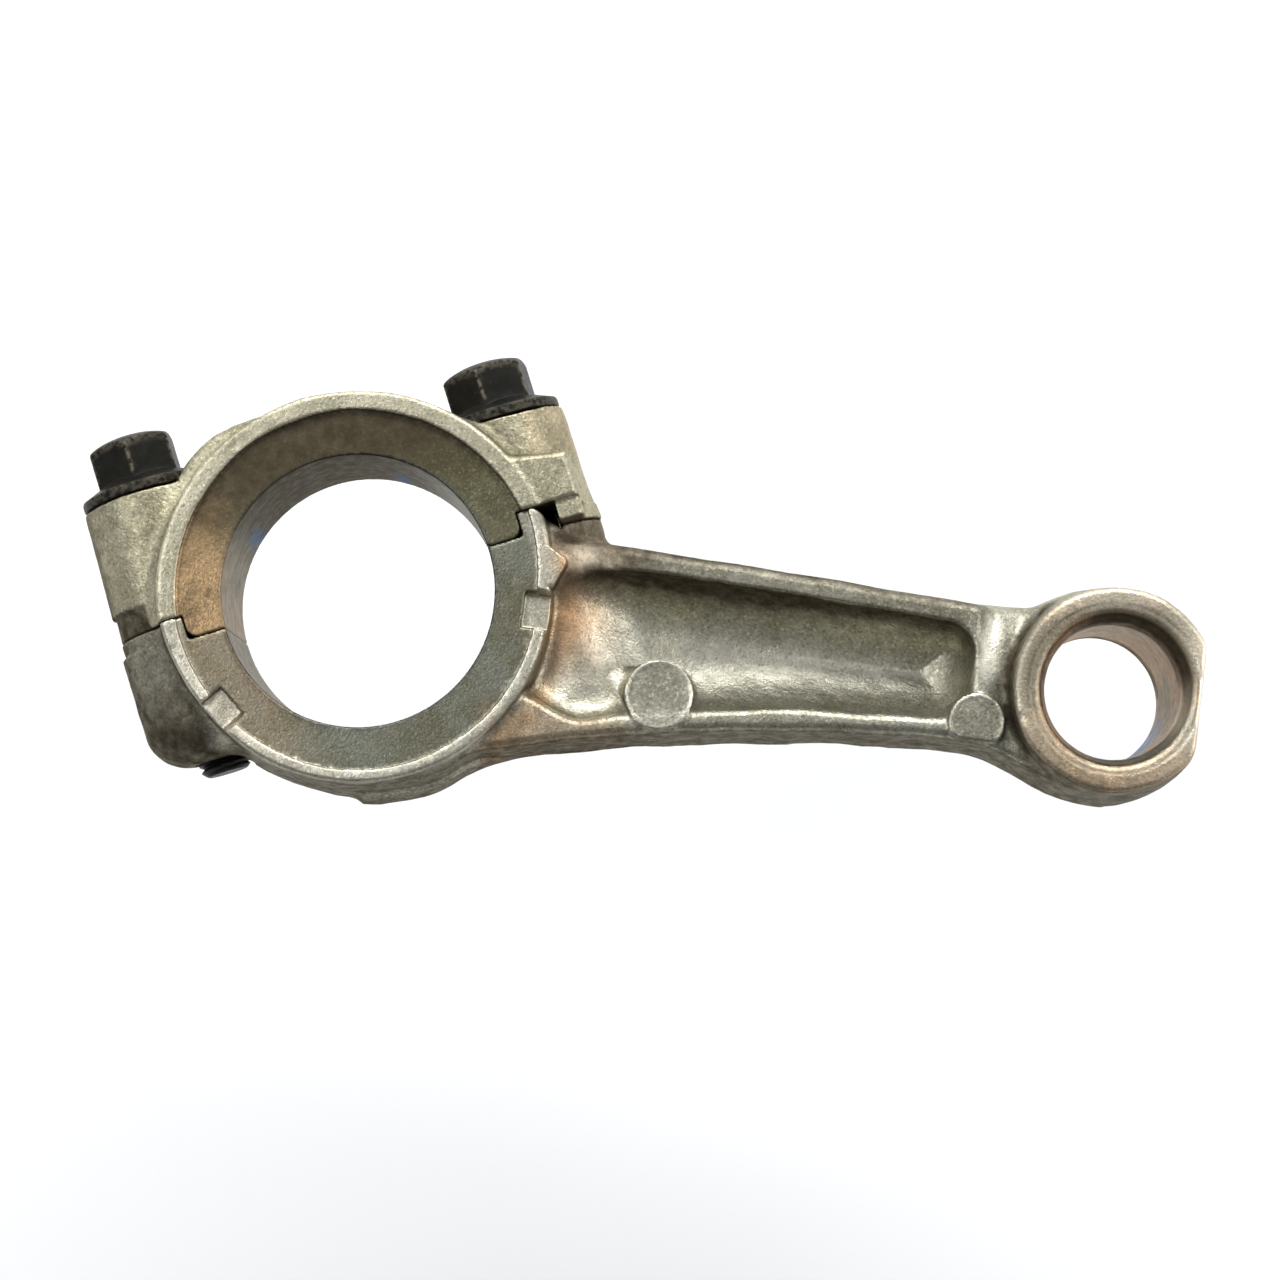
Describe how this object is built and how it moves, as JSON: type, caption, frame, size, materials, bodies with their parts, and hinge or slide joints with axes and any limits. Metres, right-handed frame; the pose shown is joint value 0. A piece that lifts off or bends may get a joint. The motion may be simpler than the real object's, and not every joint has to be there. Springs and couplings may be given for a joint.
{
  "type": "connecting rod",
  "caption": "Die-cast aluminium connecting rod with an obliquely split crank end: rod body, bearing cap and flange bolts, with a plain wrist-pin bore at the small end.",
  "frame": {"origin": "middle of the bounding box's bottom face", "axes": "+X from the crankpin bore towards the wrist-pin bore, +Z along both bores out of the face with the bolt heads to the far side, +Y across the rod towards the bolt heads"},
  "size_m": [0.1334, 0.0546, 0.027],
  "materials": {
    "rod_casting": "die-cast aluminium with a fine grain, oil-stained warm grey; machined bores and faces",
    "cap_casting": "die-cast aluminium with a fine grain, lighter and yellower than the rod; machined thrust face stained dark",
    "black_bolt": "black oxide, semi-gloss, scuffed along the edges"
  },
  "bodies": {
    "rod": {"rod_body": "rod_casting"},
    "cap": {"rod_cap": "cap_casting"},
    "left_bolt": {"left_bolt": "black_bolt"},
    "right_bolt": {"right_bolt": "black_bolt"}
  },
  "joints": [
    {"name": "cap_lift", "type": "slide", "parent": "rod", "child": "cap", "axis": [-0.421, 0.907, 0], "range_m": [0, 0.018]},
    {"name": "left_bolt_turn", "type": "hinge", "parent": "cap", "child": "left_bolt", "pos_m": [-0.05115, -0.01282, 0.0135], "axis": [-0.421, 0.907, 0], "range_deg": [0, 7143.3]},
    {"name": "right_bolt_turn", "type": "hinge", "parent": "cap", "child": "right_bolt", "pos_m": [-0.01215, 0.00528, 0.0135], "axis": [-0.421, 0.907, 0], "range_deg": [0, 7143.3]}
  ],
  "couplings": [
    {"joint": "left_bolt_turn", "follows": "cap_lift", "rad_per_m": 6926.3},
    {"joint": "right_bolt_turn", "follows": "cap_lift", "rad_per_m": 6926.3}
  ]
}
